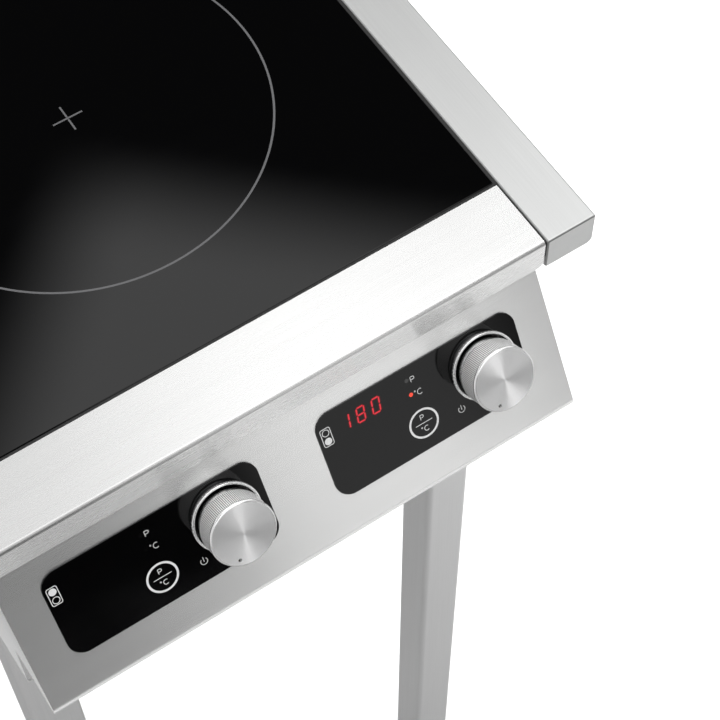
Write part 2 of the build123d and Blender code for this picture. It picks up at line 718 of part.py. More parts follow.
def terminal_block():
    """Five-way mains terminal block screwed to the bottom panel."""
    y = GLAND_Y
    body = block(35, 75, y - 26, y + 26, BODY_REST, BODY_REST + 22)
    for i in range(5):
        step = (i - 2) * 10
        body = body - rod(55, y + step, BODY_REST + 12, BODY_REST + 23, 2.6)
        body = body - rod_x(65, 76, y + step, BODY_REST + 7, 2.4)
        body = body - rod_x(34, 45, y + step, BODY_REST + 7, 2.4)
    return body


def cable_gland():
    """Gland through the bottom panel: body, hexagon, dome nut and inside lock nut."""
    body = rod(GLAND_X, GLAND_Y, BODY_Z - GLAND_HEX_H, BODY_REST + GLAND_RISE, GLAND_R)
    outside_hex = extrude(RegularPolygon(GLAND_HEX_R, 6), GLAND_HEX_H)
    lock_nut = extrude(RegularPolygon(GLAND_HEX_R, 6), GLAND_NUT_H)
    dome = Cone(GLAND_DOME_R, GLAND_DOME_R + 4.5, GLAND_HEX_Z - GLAND_LOW)
    gland = body + Pos(GLAND_X, GLAND_Y, BODY_Z - GLAND_HEX_H) * outside_hex
    gland += Pos(GLAND_X, GLAND_Y, BODY_REST) * lock_nut
    gland += Pos(GLAND_X, GLAND_Y, (GLAND_LOW + GLAND_HEX_Z) / 2) * dome
    return gland - rod(GLAND_X, GLAND_Y, GLAND_LOW - 1, BODY_REST + GLAND_RISE + 1, CORD_R)


def wire(points, radius, bend):
    """A round wire along straight runs joined by arcs."""
    path = FilletPolyline(*points, radius=bend)
    start = Plane(origin=path @ 0, z_dir=path % 0)
    return sweep(start * Circle(radius), path=path)


def internal_wiring():
    """Coil leads from the generator boards, and links from the filter and terminals."""
    wires = []
    low = BOARD_Z + BOARD_T
    for y in ZONE_Y.values():
        for step in (-5, 5):
            path = [(-66, y + step, low), (-66, y + step, low + 60), (-12, y + step * 0.9, low + 60),
                    (-12, y + step * 0.9, COIL_PLATE_Z - 8)]
            wires.append(wire(path, WIRE_R, 12))
    for i in (-1, 0, 1):
        y = GLAND_Y + i * 10
        z = BODY_REST + 7
        path = [(45, y, z), (28, y, z), (28, y, z + 30), (10, y, z + 30), (10, y, low)]
        wires.append(wire(path, WIRE_R, 5))
    return Compound(wires)


def body_screws():
    """Screws of the bottom panel, coil plates and boards, and the boards' pillars."""
    pieces = []
    for x in PANEL_SCREW_X:
        head = rod(x, PANEL_SCREW_Y, BODY_Z - 2.2, BODY_Z, 3.8)
        pieces.append(head + rod(x, PANEL_SCREW_Y, BODY_Z, BODY_REST + 6, SCREW_R))
    for zone_y in ZONE_Y.values():
        for step in (-COIL_SCREW_DY, COIL_SCREW_DY):
            z = COIL_PLATE_Z - 10
            head = rod_x(PANEL_HALF, PANEL_HALF + 2.2, zone_y + step, z, 3.8)
            screw = head + rod_x(BODY_IN - 8, PANEL_HALF, zone_y + step, z, SCREW_R)
            pieces += [screw, mirrored(screw)]
    for x, y in pillar_places():
        pieces.append(rod(x, y, BODY_REST, BOARD_Z, 3.5) + rod(x, y, BOARD_Z, BOARD_Z + 3.5, 1.6))
    return Compound(pieces)


# ---------------------------------------------------------------- stand
def stand_frame():
    """Welded ring of channel, open underneath, between the body and the legs."""
    y0 = YF + LEG_FRONT
    outer = round_block(-PANEL_HALF, PANEL_HALF, y0, Y_BACK, FRAME_Z, BODY_Z, 3)
    hole = block(-PANEL_HALF + LEG, PANEL_HALF - LEG, y0 + LEG, Y_BACK - LEG, FRAME_Z - 1, BODY_Z + 1)
    wall = 2.0
    hollow = round_block(
        -PANEL_HALF + wall, PANEL_HALF - wall, y0 + wall, Y_BACK - wall, FRAME_Z - 1, BODY_Z - wall, 1.5
    )
    core = block(
        -PANEL_HALF + LEG - wall, PANEL_HALF - LEG + wall,
        y0 + LEG - wall, Y_BACK - LEG + wall, FRAME_Z - 2, BODY_Z
    )
    frame = outer - (hollow - core) - hole
    for x in (-LEG_X, LEG_X):
        for y in STAND_BOLT_Y:
            frame = frame - rod(x, y, BODY_Z - 5, BODY_Z + 5, 4.2)
    return frame


def stand_bolts():
    """Bolts that hold the body on the stand, heads inside the channel."""
    pieces = []
    for x in (-LEG_X, LEG_X):
        for y in STAND_BOLT_Y:
            head = Pos(x, y, BODY_Z - 7.5) * extrude(RegularPolygon(7.5, 6), 5.5)
            pieces.append(head + rod(x, y, BODY_Z - 2, BODY_REST + 12, 4))
            nut_z = BODY_REST + SHEET if abs(x) + 7.5 > BODY_IN - 14 else BODY_REST
            nut = Pos(x, y, nut_z) * extrude(RegularPolygon(7.5, 6), 6.5)
            pieces.append(nut - rod(x, y, nut_z - 1, nut_z + 9, 4.02))
    return Compound(pieces)


def leg(x, y):
    """Square tube with rounded corners."""
    half = LEG / 2
    inner = half - LEG_WALL
    tube = round_block(x - half, x + half, y - half, y + half, LEG_Z, FRAME_Z, 4)
    return tube - round_block(x - inner, x + inner, y - inner, y + inner, LEG_Z - 1, FRAME_Z + 1, 2.5)


def leg_insert(x, y):
    """Plug in the foot of a leg, with the foot's thread bore."""
    half = LEG / 2
    inner = half - LEG_WALL
    plug = round_block(x - half, x + half, y - half, y + half, INSERT_Z, LEG_Z, 4)
    plug += round_block(x - inner, x + inner, y - inner, y + inner, LEG_Z, LEG_Z + 20, 2.5)
    return plug - rod(x, y, INSERT_Z - 1, LEG_Z + 21, FOOT_STEM_R + RUNNING)


def foot(x, y):
    """Levelling foot: pad, hexagon and screwed stem in one piece."""
    pad = rod(x, y, 0, FOOT_PAD_H, FOOT_R)
    pad = chamfer(pad.faces().sort_by(Axis.Z)[-1].edges(), length=5, length2=6)
    pad = fillet(edges_round(pad, 0), 1.0)
    hexagon = extrude(RegularPolygon(FOOT_HEX / 2, 6, major_radius=False), FOOT_HEX_H)
    stem = rod(x, y, INSERT_Z, INSERT_Z + FOOT_STEM, FOOT_STEM_R)
    return pad + Pos(x, y, FOOT_PAD_H) * hexagon + stem


def edges_round(solid, z):
    """The circular edges at a height."""
    return [edge for edge in solid.edges().filter_by(GeomType.CIRCLE) if abs(edge.center().Z - z) < 0.01]


# ---------------------------------------------------------------- write the parts
save(end_rail(Y_FRONT, YF, Y_FRONT), "front_rail")
save(end_rail(YR, YR + END_RAIL_DEPTH, YR + END_RAIL_DEPTH), "rear_rail")
save(side_rail(), "side_rail_right")
save(mirrored(side_rail()), "side_rail_left")
save(joint_seals(), "rail_joint_seals")
save(glass_plate(), "glass_plate")
save(glass_seal(), "glass_seal")
save(glass_carrier(), "glass_carrier")
save(worktop_bolts(), "worktop_bolts")

save(side_panel(), "side_panel_right")
save(mirrored(side_panel()), "side_panel_left")
save(back_panel(), "back_panel")
save(bottom_panel(), "bottom_panel")
save(control_panel(), "control_panel")

for side_name in OVERLAY_LEFT:
    save(overlay(side_name), f"overlay_{side_name}")
    save(mode_key(side_name), f"mode_key_{side_name}")
    save(knob(side_name), f"knob_{side_name}")
    save(knob_shaft(side_name), f"knob_shaft_{side_name}")
    save(encoder_rotor(side_name), f"encoder_rotor_{side_name}")
    save(display(side_name), f"display_{side_name}")
save(knob_bezels(), "knob_bezels")
save(encoder_housings(), "encoder_housings")
save(control_board(), "control_board")
save(indicator_leds(), "indicator_leds")
save(key_switches(), "key_switches")

save(coil_plates(), "coil_plates")
save(coil_formers(), "coil_formers")
save(coil_windings(), "coil_windings")
save(mica_sheets(), "mica_sheets")
save(ferrite_bars(), "ferrite_bars")
save(temperature_sensors(), "temperature_sensors")

for zone_name in ZONE_Y:
    save(generator_board(zone_name), f"generator_board_{zone_name}")
    save(fan_rotor(zone_name), f"fan_rotor_{zone_name}")
save(Compound([fan_frame(y) for y in ZONE_Y.values()]), "fan_frames")
save(heat_sinks(), "heat_sinks")
save(capacitors(), "capacitors")
save(filter_board(), "filter_board")
save(terminal_block(), "terminal_block")
save(cable_gland(), "cable_gland")
save(internal_wiring(), "internal_wiring")
save(body_screws(), "body_screws")

save(stand_frame(), "stand_frame")
save(stand_bolts(), "stand_bolts")
inserts = []
for end_name, leg_y in LEG_Y.items():
    for side_name, leg_x in (("left", -LEG_X), ("right", LEG_X)):
        save(leg(leg_x, leg_y), f"leg_{end_name}_{side_name}")
        save(foot(leg_x, leg_y), f"foot_{end_name}_{side_name}")
        inserts.append(leg_insert(leg_x, leg_y))
save(Compound(inserts), "leg_inserts")

for place_name, value in (("YF", YF), ("YR", YR), ("Y_BACK", Y_BACK), ("GLAND_Y", GLAND_Y)):
    print(place_name, round(value, 3))
for side_name in OVERLAY_LEFT:
    for thing, spot in (("knob", KNOB_AT), ("key", KEY_AT)):
        middle = on_panel(*overlay_point(side_name, spot)).position
        print(thing, side_name, [round(number, 3) for number in middle])
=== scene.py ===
import json
import math

import bmesh
import bpy
from mathutils import Matrix, Vector

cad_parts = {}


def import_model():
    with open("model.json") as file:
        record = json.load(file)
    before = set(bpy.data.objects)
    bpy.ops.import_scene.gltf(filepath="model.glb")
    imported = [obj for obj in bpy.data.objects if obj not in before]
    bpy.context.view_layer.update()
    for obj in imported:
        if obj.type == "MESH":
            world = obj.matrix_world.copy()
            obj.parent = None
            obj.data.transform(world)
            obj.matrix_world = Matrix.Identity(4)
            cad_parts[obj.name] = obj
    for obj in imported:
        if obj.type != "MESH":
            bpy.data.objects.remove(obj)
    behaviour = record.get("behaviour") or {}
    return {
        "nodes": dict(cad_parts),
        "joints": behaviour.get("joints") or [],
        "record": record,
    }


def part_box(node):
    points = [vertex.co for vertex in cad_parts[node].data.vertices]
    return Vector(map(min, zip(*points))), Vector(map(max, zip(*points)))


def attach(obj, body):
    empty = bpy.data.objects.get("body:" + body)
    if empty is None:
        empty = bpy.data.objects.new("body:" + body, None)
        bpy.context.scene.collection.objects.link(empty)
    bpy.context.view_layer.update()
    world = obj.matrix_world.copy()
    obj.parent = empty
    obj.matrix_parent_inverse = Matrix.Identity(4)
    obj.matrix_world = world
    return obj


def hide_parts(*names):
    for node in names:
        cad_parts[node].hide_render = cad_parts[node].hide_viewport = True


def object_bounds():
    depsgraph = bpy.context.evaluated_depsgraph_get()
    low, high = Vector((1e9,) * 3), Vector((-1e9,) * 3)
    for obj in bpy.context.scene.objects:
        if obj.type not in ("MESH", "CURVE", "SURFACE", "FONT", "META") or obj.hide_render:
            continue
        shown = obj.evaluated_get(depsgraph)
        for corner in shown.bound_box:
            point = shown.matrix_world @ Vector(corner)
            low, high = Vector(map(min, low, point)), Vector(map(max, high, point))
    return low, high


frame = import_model()
cad_low, cad_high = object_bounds()

MM = 0.001
SIDES = ("right", "left")

# ---------------------------------------------------------------- driving dimensions, millimetres
OVERLAY_TOP = 0.8          # overlay's face, out from the panel
KNOB_AT = (101.1, 29.0)    # all places on an overlay count from its lower left corner
KEY_AT = (58.3, 16.5)
KNOB_R = 18.7
KNOB_TOP = 21.9
SKIRT_R = 16.9
KNOB_BOTTOM = 2.1
KNURL = (7.4, 20.2)        # knurled band, from and to, out from the panel
RIM = 0.95                 # bright chamfer round the face
FACE_TOP = KNOB_TOP - 0.03
TEETH = 116
TOOTH = (0.0, 0.05, 0.42, 0.05)  # how deep the four points of each tooth lie under the band
BEZEL_R = 19.9
BEZEL_W = 1.6
BEZEL_H = 1.6
MARK_ANGLE = -119.0        # the knob's mark, seen from the front, degrees from +X
MARK_R = 14.8              # its distance from the knob's middle
MARK_BEAD_R = 1.2
MARK_SUNK = 0.09           # how far the bead is set into the face
AXIS_R = 0.0001            # a lathe's radius for a point on its axis, merged afterwards
MERGE = 0.001 * MM         # points closer than this are one, metres
PRINT_T = 0.03             # thickness of everything printed
PRINT_W = 0.40             # width of the symbols' lines
POWER_AT = (81.0, 11.8)

DIGIT_H = 9.4
DIGIT_W = 5.2
DIGIT_STROKE = 0.75
DIGIT_SLANT = math.tan(math.radians(7.5))
DIGIT_AT = [(14.6, 37.3), (24.0, 37.3), (33.4, 37.3)]
SEGMENTS = {"0": "abcdef", "1": "bc", "8": "abcdefg"}
LAMP_AT = {"power": (56.4, 45.6), "temperature": (56.3, 36.5)}
LAMP_R = 1.2
LAMP_LAYERS = [(0.0, 0.0, 0.02), (0.08, 0.02, 0.015)]  # inset, height of its base, thickness

ZONE_R = 112               # the ring printed over each coil, and the cross in its middle
CROSS_HALF = 9
CROSS_GAP = 0.75
ZONE_SUNK = 0.02           # how far the print is set into the glass

NOSE_REACH = (0.008, 0.013)  # metres behind the panel's front edge where its worn nose ends
NOISE_ROUGHNESS = 0.55

CAMERA_LENS = 100.9
CAMERA_PLACE = (-0.39811, -0.48083, 0.87613)  # metres, from the corner of the glass seal
CAMERA_RIGHT = (0.83457, -0.55085, -0.00690)
CAMERA_UP = (0.47831, 0.71834, 0.50517)
CAMERA_BACK = (-0.27332, -0.42490, 0.86299)
KEY_ENERGY = 2.4
KEY_ANGLE = 70             # how wide the key light is, degrees
KEY_TILT = (-14, 12)       # and how it leans about X and Y
ROOM_SEEN, ROOM_DIM = 1.02, 0.01  # the room behind the object, and between its light boxes

FLOOR_SEEN = 0.92          # the floor's paint, and how bright it counts in reflections, darker there as painted shade
FLOOR_MIRRORED = (0.31, 0.47)
FLOOR_TURN = (0.02, 0.42)  # metres along X over which the second one takes over
UP, FRONT, BACK, RIGHT, LEFT = (0, 0, 1), (0, -1, 0), (0, 1, 0), (1, 0, 0), (-1, 0, 0)
# direction it hangs in, its sideways direction, edges that way, edges across that, strength
BOXES = [
    (UP, (1, 1, 0), (-1.4, -1.1, 0.61, 0.70), (-0.9, -0.7, 0.27, 0.35), 1.40),
    (UP, RIGHT, (0.10, 0.30, 0.42, 0.60), (-0.8, -0.5, 0.15, 0.40), 1.35),
    (UP, RIGHT, (-1.4, -1.0, -0.10, 0.05), (0.10, 0.30, 1.0, 1.4), 1.50),
    (UP, RIGHT, (0.60, 0.75, 2.0, 2.8), (-0.1, 0.2, 1.5, 2.2), 1.10),
    (FRONT, RIGHT, (0.18, 0.23, 0.31, 0.40), (-0.7, -0.4, 0.04, 0.12), 0.72),
    (FRONT, RIGHT, (0.13, 0.23, 0.33, 0.52), (0.05, 0.14, 0.60, 0.85), 1.45),
    (FRONT, RIGHT, (0.60, 0.90, 1.5, 2.0), (-0.6, -0.4, 0.5, 0.9), 0.75),
    (LEFT, FRONT, (-1.8, -1.2, 0.7, 1.2), (-0.6, -0.3, 0.9, 1.5), 0.82),
    (BACK, LEFT, (-1.2, -0.7, 0.7, 1.2), (-0.3, -0.1, 0.7, 1.1), 0.55),
    (RIGHT, BACK, (-1.2, -0.7, 0.7, 1.2), (-0.3, -0.1, 0.8, 1.2), 0.55),
]


# ---------------------------------------------------------------- materials
def clear_material(name):
    material = bpy.data.materials.new(name)
    material.use_nodes = True
    return material, material.node_tree.nodes, material.node_tree.links


def shader(nodes):
    return nodes["Principled BSDF"]


def noise(nodes, links, scale, detail=3.0):
    """Object-space noise stretched by a scale per axis, per metre."""
    place = nodes.new("ShaderNodeTexCoord")
    stretch = nodes.new("ShaderNodeMapping")
    stretch.inputs["Scale"].default_value = scale
    field = nodes.new("ShaderNodeTexNoise")
    field.inputs["Scale"].default_value = 1.0
    field.inputs["Detail"].default_value = detail
    field.inputs["Roughness"].default_value = NOISE_ROUGHNESS
    links.new(place.outputs["Object"], stretch.inputs["Vector"])
    links.new(stretch.outputs["Vector"], field.inputs["Vector"])
    return field.outputs["Fac"]


def ranged(nodes, links, value, low, high, start=0.3, end=0.7):
    """A field spread from low to high."""
    spread = nodes.new("ShaderNodeMapRange")
    spread.inputs["From Min"].default_value = start
    spread.inputs["From Max"].default_value = end
    spread.inputs["To Min"].default_value = low
    spread.inputs["To Max"].default_value = high
    links.new(value, spread.inputs["Value"])
    return spread.outputs["Result"]


def maths(nodes, links, operation, first, second):
    step = nodes.new("ShaderNodeMath")
    step.operation = operation
    for socket, value in zip(step.inputs, (first, second)):
        if isinstance(value, (int, float)):
            socket.default_value = value
        else:
            links.new(value, socket)
    return step.outputs["Value"]


def times(nodes, links, first, second):
    return maths(nodes, links, "MULTIPLY", first, second)


def place_parts(nodes, links):
    """A point's X, Y and Z in its object's own frame."""
    place = nodes.new("ShaderNodeTexCoord")
    parts = nodes.new("ShaderNodeSeparateXYZ")
    links.new(place.outputs["Object"], parts.inputs["Vector"])
    return parts.outputs


def normal_parts(nodes, links):
    """The X, Y and Z of the direction that a surface faces."""
    surface = nodes.new("ShaderNodeNewGeometry")
    parts = nodes.new("ShaderNodeSeparateXYZ")
    links.new(surface.outputs["Normal"], parts.inputs["Vector"])
    return parts.outputs


def tinted(nodes, links, colour, factor):
    """A colour made lighter or darker by a factor."""
    tint = nodes.new("ShaderNodeVectorMath")
    tint.operation = "SCALE"
    tint.inputs[0].default_value = colour
    links.new(factor, tint.inputs["Scale"])
    return tint.outputs["Vector"]


def bump(nodes, links, height, strength, distance):
    relief = nodes.new("ShaderNodeBump")
    relief.inputs["Strength"].default_value = strength
    relief.inputs["Distance"].default_value = distance
    links.new(height, relief.inputs["Height"])
    links.new(relief.outputs["Normal"], shader(nodes).inputs["Normal"])


def across(grain, along, over):
    """A noise scale that is fine across the grain and long along it."""
    return tuple(along if axis == grain else over for axis in "XYZ")


def painted_shading(nodes, links, shade, grain, end_painted_shade, fold_painted_shade, front_painted_light):
    """Painted shade and light: a shade made darker on closed ends and rounded folds, and lighter on the face
    to the front.
    """
    normal = normal_parts(nodes, links)
    turned = {axis: maths(nodes, links, "ABSOLUTE", normal[axis], 0.0) for axis in "XYZ"}
    end = ranged(nodes, links, turned[grain], 1.0, end_painted_shade, 0.55, 0.95)
    squarest = maths(nodes, links, "MAXIMUM", turned["Y"], turned["Z"])
    squarest = maths(nodes, links, "MAXIMUM", turned["X"], squarest)
    fold = ranged(nodes, links, squarest, fold_painted_shade, 1.0, 0.93, 0.995)
    shade = times(nodes, links, shade, times(nodes, links, end, fold))
    front = ranged(nodes, links, turned["Y"], 1.0, front_painted_light, 0.95, 0.99)
    return times(nodes, links, shade, front)


def worn_metal(nodes, links, worn_nose):
    """How metallic a sheet is whose nose turns under, near its front edge, and is worn there."""
    under = ranged(nodes, links, normal_parts(nodes, links)["Z"], 1.0, 0.0, 0.22, 0.46)
    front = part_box("control_panel")[0].y
    limits = [front + reach for reach in NOSE_REACH]
    close = ranged(nodes, links, place_parts(nodes, links)["Y"], 1.0, 0.0, *limits)
    matt = times(nodes, links, times(nodes, links, under, close), worn_nose)
    return maths(nodes, links, "SUBTRACT", 1.0, matt)


def brushed(
    name, colour, roughness, grain="X", contrast=0.03, anisotropy=1.0,
    end_painted_shade=1.0, fold_painted_shade=1.0, worn_nose=0.0, front_painted_light=1.0
):
    """Satin brushed sheet: hair-fine streaks along the grain, with faint handling marks.
    Painted shade: faces square to the grain, such as a closed rail end, are made darker by the end factor,
    and rounded folds by the fold factor. Painted light: the face to the front is made lighter by the
    front factor. A nose that turns under is less metallic by worn_nose."""
    material, nodes, links = clear_material(name)
    fine = noise(nodes, links, across(grain, 16.0, 1700.0))
    broad = noise(nodes, links, across(grain, 2.0, 160.0))
    patch = noise(nodes, links, (9.0, 9.0, 9.0))
    shade = ranged(nodes, links, fine, 1 - contrast, 1 + contrast)
    shade = times(nodes, links, shade, ranged(nodes, links, broad, 0.988, 1.01))
    shade = times(nodes, links, shade, ranged(nodes, links, patch, 0.985, 1.01))
    bsdf = shader(nodes)
    bsdf.inputs["Metallic"].default_value = 1.0
    bsdf.inputs["Anisotropic"].default_value = anisotropy
    bsdf.inputs["Anisotropic Rotation"].default_value = 0.25
    lay = nodes.new("ShaderNodeCombineXYZ")
    for axis in "XYZ":
        lay.inputs[axis].default_value = float(axis == grain)
    links.new(lay.outputs["Vector"], bsdf.inputs["Tangent"])
    # painted shade on closed ends and folds, painted light on the face to the front
    if end_painted_shade != 1.0 or fold_painted_shade != 1.0:
        shade = painted_shading(nodes, links, shade, grain, end_painted_shade, fold_painted_shade, front_painted_light)
    if worn_nose:
        links.new(worn_metal(nodes, links, worn_nose), bsdf.inputs["Metallic"])
    links.new(tinted(nodes, links, colour, shade), bsdf.inputs["Base Color"])
    worn = maths(nodes, links, "ADD", ranged(nodes, links, fine, -0.01, 0.01), roughness)
    worn = maths(nodes, links, "ADD", worn, ranged(nodes, links, patch, -0.01, 0.015))
    links.new(worn, bsdf.inputs["Roughness"])
    bump(nodes, links, fine, 0.01, 0.00001)
    return material


def metal(name, colour, roughness, speckle=900.0, contrast=0.06, metallic=1.0):
    """Plain metal with a fine, even surface. A blasted one counts as less metallic."""
    material, nodes, links = clear_material(name)
    grain = noise(nodes, links, (speckle, speckle, speckle))
    bsdf = shader(nodes)
    bsdf.inputs["Metallic"].default_value = metallic
    shade = ranged(nodes, links, grain, 1 - contrast, 1 + contrast)
    links.new(tinted(nodes, links, colour, shade), bsdf.inputs["Base Color"])
    links.new(ranged(nodes, links, grain, roughness * 0.8, roughness * 1.25), bsdf.inputs["Roughness"])
    bump(nodes, links, grain, 0.06, 0.00003)
    return material


def plastic(name, colour, roughness, grain=1400.0, relief=0.12, coat=0.0):
    """Moulded plastic, rubber or varnish with a fine texture."""
    material, nodes, links = clear_material(name)
    field = noise(nodes, links, (grain, grain, grain))
    cloud = noise(nodes, links, (25.0, 25.0, 25.0), detail=2.0)
    shade = ranged(nodes, links, field, 0.93, 1.05)
    shade = times(nodes, links, shade, ranged(nodes, links, cloud, 0.95, 1.05))
    bsdf = shader(nodes)
    links.new(tinted(nodes, links, colour, shade), bsdf.inputs["Base Color"])
    links.new(ranged(nodes, links, field, roughness * 0.85, roughness * 1.2), bsdf.inputs["Roughness"])
    bsdf.inputs["Coat Weight"].default_value = coat
    bsdf.inputs["Coat Roughness"].default_value = 0.05
    bump(nodes, links, field, relief, 0.00005)
    return material


def polished_black(name, colour, roughness, specular, ior=1.5):
    """Glass or gloss overlay: deep black with faint wipe marks in its gloss."""
    material, nodes, links = clear_material(name)
    wipe = noise(nodes, links, (18.0, 55.0, 30.0), detail=4.0)
    dust = noise(nodes, links, (3000.0, 3000.0, 3000.0), detail=1.0)
    bsdf = shader(nodes)
    shade = ranged(nodes, links, dust, 0.9, 1.3, 0.35, 0.8)
    links.new(tinted(nodes, links, colour, shade), bsdf.inputs["Base Color"])
    links.new(ranged(nodes, links, wipe, roughness, roughness * 2.2), bsdf.inputs["Roughness"])
    bsdf.inputs["Specular IOR Level"].default_value = specular
    bsdf.inputs["IOR"].default_value = ior
    return material


def glowing(name, colour, emission, strength):
    """Lit lens, slightly uneven."""
    material, nodes, links = clear_material(name)
    field = noise(nodes, links, (600.0, 600.0, 600.0), detail=1.0)
    bsdf = shader(nodes)
    bsdf.inputs["Base Color"].default_value = (*colour, 1)
    bsdf.inputs["Roughness"].default_value = 0.3
    bsdf.inputs["Emission Color"].default_value = (*emission, 1)
    links.new(ranged(nodes, links, field, strength * 0.85, strength * 1.15), bsdf.inputs["Emission Strength"])
    return material


def turned_face(name):
    """Knob face: circular brushing gives light wedges that meet at the middle."""
    material, nodes, links = clear_material(name)
    bsdf = shader(nodes)
    parts = place_parts(nodes, links)
    squares = [times(nodes, links, parts[axis], parts[axis]) for axis in "XY"]
    radius = maths(nodes, links, "SQRT", maths(nodes, links, "ADD", *squares), 0.0)
    rings = nodes.new("ShaderNodeTexNoise")
    rings.noise_dimensions = "1D"
    rings.inputs["Scale"].default_value = 6500.0
    rings.inputs["Detail"].default_value = 2.0
    links.new(radius, rings.inputs["W"])
    tangent = nodes.new("ShaderNodeTangent")
    tangent.direction_type = "RADIAL"
    tangent.axis = "Z"
    links.new(tangent.outputs["Tangent"], bsdf.inputs["Tangent"])
    bsdf.inputs["Metallic"].default_value = 1.0
    bsdf.inputs["Anisotropic"].default_value = 0.92
    bsdf.inputs["Anisotropic Rotation"].default_value = 0.25
    shade = ranged(nodes, links, rings.outputs["Fac"], 0.92, 1.04)
    links.new(tinted(nodes, links, (0.93, 0.93, 0.93), shade), bsdf.inputs["Base Color"])
    links.new(ranged(nodes, links, rings.outputs["Fac"], 0.30, 0.40), bsdf.inputs["Roughness"])
    return material


MATERIALS = {
    # Painted shade and light: the rails' ends and folds are darker and the front rail's front face lighter.
    "rail_steel": brushed(
        "front_rail_steel", (0.82, 0.82, 0.815), 0.27, "X", 0.015, fold_painted_shade=0.55, front_painted_light=1.18
    ),
    # The side rails' steel is set darker than the front rail's: painted shade.
    "side_rail_steel": brushed(
        "side_rail_steel", (0.73, 0.735, 0.73), 0.32, "Y", 0.025, end_painted_shade=0.93, fold_painted_shade=0.5
    ),
    "panel_steel": brushed("panel_steel", (0.76, 0.76, 0.755), 0.25, "X", 0.025, worn_nose=0.8),
    "body_steel": brushed("body_steel", (0.80, 0.80, 0.80), 0.33, "Y"),
    "back_steel": brushed("back_steel", (0.80, 0.80, 0.80), 0.33, "X"),
    # The stand's steel is set darker than the body's: painted shade.
    "stand_steel": brushed("stand_steel", (0.76, 0.76, 0.76), 0.38, "Z", 0.02, 0.8),
    "frame_steel": brushed("frame_steel", (0.78, 0.78, 0.78), 0.38, "Y", 0.02, 0.6),
    "foot_steel": metal("foot_steel", (0.60, 0.60, 0.60), 0.28),
    "fastener_steel": metal("fastener_steel", (0.62, 0.62, 0.60), 0.30),
    "sensor_steel": metal("sensor_steel", (0.50, 0.50, 0.50), 0.35),
    "polished_steel": metal("polished_steel", (0.90, 0.90, 0.90), 0.24, 1500.0, 0.02, 0.8),
    "knob_aluminium": metal("knob_aluminium", (0.80, 0.80, 0.80), 0.22, 1800.0, 0.05),
    "black_glass": polished_black("black_glass", (0.0010, 0.0010, 0.0011), 0.02, 0.46),
    "seal_rubber": plastic("seal_rubber", (0.007, 0.007, 0.007), 0.6),
    "overlay_black": polished_black("overlay_black", (0.0008, 0.0008, 0.0009), 0.04, 0.45),
    "display_module": plastic("display_module", (0.03, 0.006, 0.006), 0.35),
    "led_lens": plastic("led_lens", (0.30, 0.12, 0.10), 0.3),
    "circuit_board": plastic("circuit_board", (0.02, 0.13, 0.06), 0.35, 500.0, 0.2),
    "black_plastic": plastic("black_plastic", (0.02, 0.02, 0.02), 0.45),
    "white_plastic": plastic("white_plastic", (0.6, 0.6, 0.57), 0.4),
    "former_plastic": plastic("former_plastic", (0.42, 0.36, 0.28), 0.55),
    "terminal_plastic": plastic("terminal_plastic", (0.55, 0.55, 0.53), 0.45),
    "gland_plastic": plastic("gland_plastic", (0.05, 0.05, 0.055), 0.4),
    "wire_insulation": plastic("wire_insulation", (0.32, 0.05, 0.04), 0.45),
    "copper_litz": metal("copper_litz", (0.70, 0.33, 0.17), 0.35, 1600.0, 0.25),
    "mica": plastic("mica", (0.62, 0.55, 0.42), 0.5, 300.0, 0.3),
    "ferrite": plastic("ferrite", (0.04, 0.04, 0.045), 0.5, 900.0, 0.3),
    "aluminium_plate": metal("aluminium_plate", (0.72, 0.73, 0.74), 0.32, 400.0),
    "sink_aluminium": metal("sink_aluminium", (0.66, 0.67, 0.68), 0.38, 700.0),
    "capacitor_case": plastic("capacitor_case", (0.03, 0.04, 0.06), 0.3),
}
FACE = turned_face("knob_face_aluminium")
PRINT = plastic("white_print", (0.62, 0.62, 0.62), 0.5, 900.0, 0.05)
ZONE_PRINT = plastic("zone_print", (0.07, 0.07, 0.073), 0.5, 900.0, 0.05)
MARK = metal("mark_metal", (0.30, 0.30, 0.30), 0.10)
KNURLED = metal("knurled_aluminium", (0.95, 0.95, 0.95), 0.34, 1800.0, 0.05, 0.35)
# Painted shade: the knurl's grooves get a darker metal.
GROOVE_SHADE = metal("knurl_groove_shade", (0.26, 0.26, 0.26), 0.40, 1800.0, 0.05, 0.8)
DIGIT_ON = glowing("digit_lit", (0.20, 0.01, 0.015), (0.62, 0.016, 0.030), 1.0)
GLOW_NEAR = glowing("digit_glow_near", (0.005, 0.0, 0.0), (0.120, 0.003, 0.006), 1.0)
GLOW_FAR = glowing("digit_glow_far", (0.002, 0.0, 0.0), (0.035, 0.001, 0.001), 1.0)
DIGIT_OFF = polished_black("digit_unlit", (0.0014, 0.0009, 0.0009), 0.04, 0.46)
LAMP_ON = glowing("lamp_lit", (0.3, 0.03, 0.02), (0.78, 0.050, 0.020), 1.0)
LAMP_OFF = polished_black("lamp_unlit", (0.0010, 0.0010, 0.0010), 0.05, 0.5, 1.9)

OTHER_SLOTS = {
    "side_rail_left": "side_rail_steel",
    "side_rail_right": "side_rail_steel",
    "back_panel": "back_steel",
    "stand_frame": "frame_steel",
}


# ---------------------------------------------------------------- CAD nodes
def dress_cad_nodes():
    slot_of = {part["node"]: part["material_slot"] for part in frame["record"]["subparts"]}
    for name, node in frame["nodes"].items():
        material = MATERIALS[OTHER_SLOTS.get(name, slot_of[name])]
        node.data.materials.clear()
        node.data.materials.append(material)
        for face_slot in node.material_slots:
            face_slot.material = material


